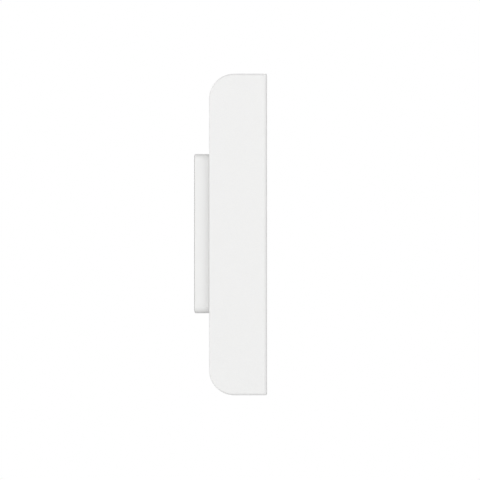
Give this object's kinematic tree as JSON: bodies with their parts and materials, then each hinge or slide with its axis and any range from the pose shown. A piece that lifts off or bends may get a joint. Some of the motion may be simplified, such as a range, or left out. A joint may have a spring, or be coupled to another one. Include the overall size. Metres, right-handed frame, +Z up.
{
  "type": "video doorbell",
  "caption": "Slim white wall-mounted video doorbell with a glossy front, camera, round call button and speaker slots, hung on a small wall bracket.",
  "frame": {"origin": "middle of the bracket's wall face, which is also the middle of the two wall screws", "axes": "+Y into the wall, so the front faces -Y; +Z up; +X to the right when looking at the front"},
  "size_m": [0.052, 0.0318, 0.14],
  "materials": {
    "white_plastic": "fine moulded texture",
    "dark_plastic": "moulded",
    "panel_black": "polished, glossy",
    "dark_rubber": "soft moulded",
    "tape": "foam tape",
    "membrane": "porous sheet",
    "label": "blank printed film",
    "screw_steel": "zinc plated",
    "brass": "turned",
    "trim_metal": "anodised, satin",
    "window_clear": "clear, polished",
    "window_smoked": "smoked, passes infrared",
    "lens_glass": "coated lens glass",
    "infrared_filter": "coated filter glass",
    "circuit_board": "solder mask",
    "white_board": "white solder mask",
    "chip_black": "moulded chip",
    "sensor_glass": "sensor cover glass",
    "flex_film": "polyimide film",
    "copper": "enamelled copper wire",
    "lamp_clear": "lamp resin",
    "ring_lamp": "lamp resin",
    "button_metal": "satin, turned",
    "ring_milky": "milky, lets light through",
    "mesh_black": "woven acoustic mesh",
    "speaker_steel": "zinc plated",
    "cone_film": "pressed film",
    "magnet": "nickel plated",
    "lead_red": "insulation",
    "tin_plate": "tinned sheet",
    "capacitor_sleeve": "shrink sleeve",
    "ivory_plastic": "moulded",
    "green_plastic": "moulded",
    "button_grey": "moulded",
    "plunger_brown": "moulded"
  },
  "bodies": {
    "bracket": {"wall_bracket": "white_plastic", "wall_gasket": "dark_rubber"},
    "unit": {"rear_casing": "white_plastic", "front_frame": "dark_plastic", "front_panel": "panel_black", "panel_tape": "tape", "front_seal": "dark_rubber", "vent_membrane": "membrane", "rating_label": "label", "lock_insert": "brass", "case_screws": "screw_steel", "lens_trim": "trim_metal", "lens_window": "window_clear", "lens_shroud": "dark_rubber", "lens_barrel": "dark_plastic", "lens_elements": "lens_glass", "lens_mount": "dark_plastic", "filter_coil": "copper", "image_sensor": "sensor_glass", "camera_board": "circuit_board", "camera_bracket": "tin_plate", "camera_flex": "flex_film", "infrared_board": "circuit_board", "infrared_lamps": "lamp_clear", "front_windows": "window_smoked", "sensor_board": "circuit_board", "light_sensor": "chip_black", "light_pipe": "window_clear", "microphone": "tin_plate", "microphone_boot": "dark_rubber", "button_light_ring": "ring_milky", "ring_light_board": "white_board", "ring_lamps": "ring_lamp", "button_seal": "dark_rubber", "tact_switches": "dark_plastic", "speaker_mesh": "mesh_black", "speaker_gasket": "dark_rubber", "speaker_basket": "speaker_steel", "speaker_cone": "cone_film", "speaker_magnet": "magnet", "speaker_lead": "lead_red", "main_board": "circuit_board", "board_chips": "chip_black", "shield_can": "tin_plate", "antenna": "flex_film", "buffer_capacitors": "capacitor_sleeve", "board_connectors": "ivory_plastic", "board_screws": "screw_steel", "terminal_block": "green_plastic", "terminal_plates": "brass", "service_socket": "tin_plate"},
    "security_screw": {"security_screw": "screw_steel"},
    "call_button": {"call_button_cap": "button_metal", "switch_plunger": "plunger_brown"},
    "reset_button": {"reset_button": "button_grey"},
    "filter": {"filter_frame": "dark_plastic", "infrared_pane": "infrared_filter", "clear_pane": "window_clear"},
    "terminal_screw_left": {"terminal_screw_left": "screw_steel"},
    "terminal_screw_right": {"terminal_screw_right": "screw_steel"}
  },
  "joints": [
    {"name": "unit_lift", "type": "slide", "parent": "bracket", "child": "unit", "axis": [0, 0, 1], "range_m": [0, 0.0045]},
    {"name": "security_screw_turn", "type": "hinge", "parent": "bracket", "child": "security_screw", "pos_m": [0.0125, -0.0034, -0.033], "axis": [0, 0, 1], "continuous": true},
    {"name": "call_button_press", "type": "slide", "parent": "unit", "child": "call_button", "axis": [0, 1, 0], "range_m": [0, 0.0006], "stiffness_N_per_m": 400, "springref_m": -0.002},
    {"name": "reset_button_press", "type": "slide", "parent": "unit", "child": "reset_button", "axis": [0, -1, 0], "range_m": [0, 0.0005], "stiffness_N_per_m": 300, "springref_m": -0.001},
    {"name": "filter_slide", "type": "slide", "parent": "unit", "child": "filter", "axis": [1, 0, 0], "range_m": [0, 0.0055]},
    {"name": "terminal_screw_left_turn", "type": "hinge", "parent": "unit", "child": "terminal_screw_left", "pos_m": [-0.0046, -0.0099, -0.0008], "axis": [0, 1, 0], "continuous": true},
    {"name": "terminal_screw_right_turn", "type": "hinge", "parent": "unit", "child": "terminal_screw_right", "pos_m": [0.0046, -0.0099, -0.0008], "axis": [0, 1, 0], "continuous": true}
  ]
}
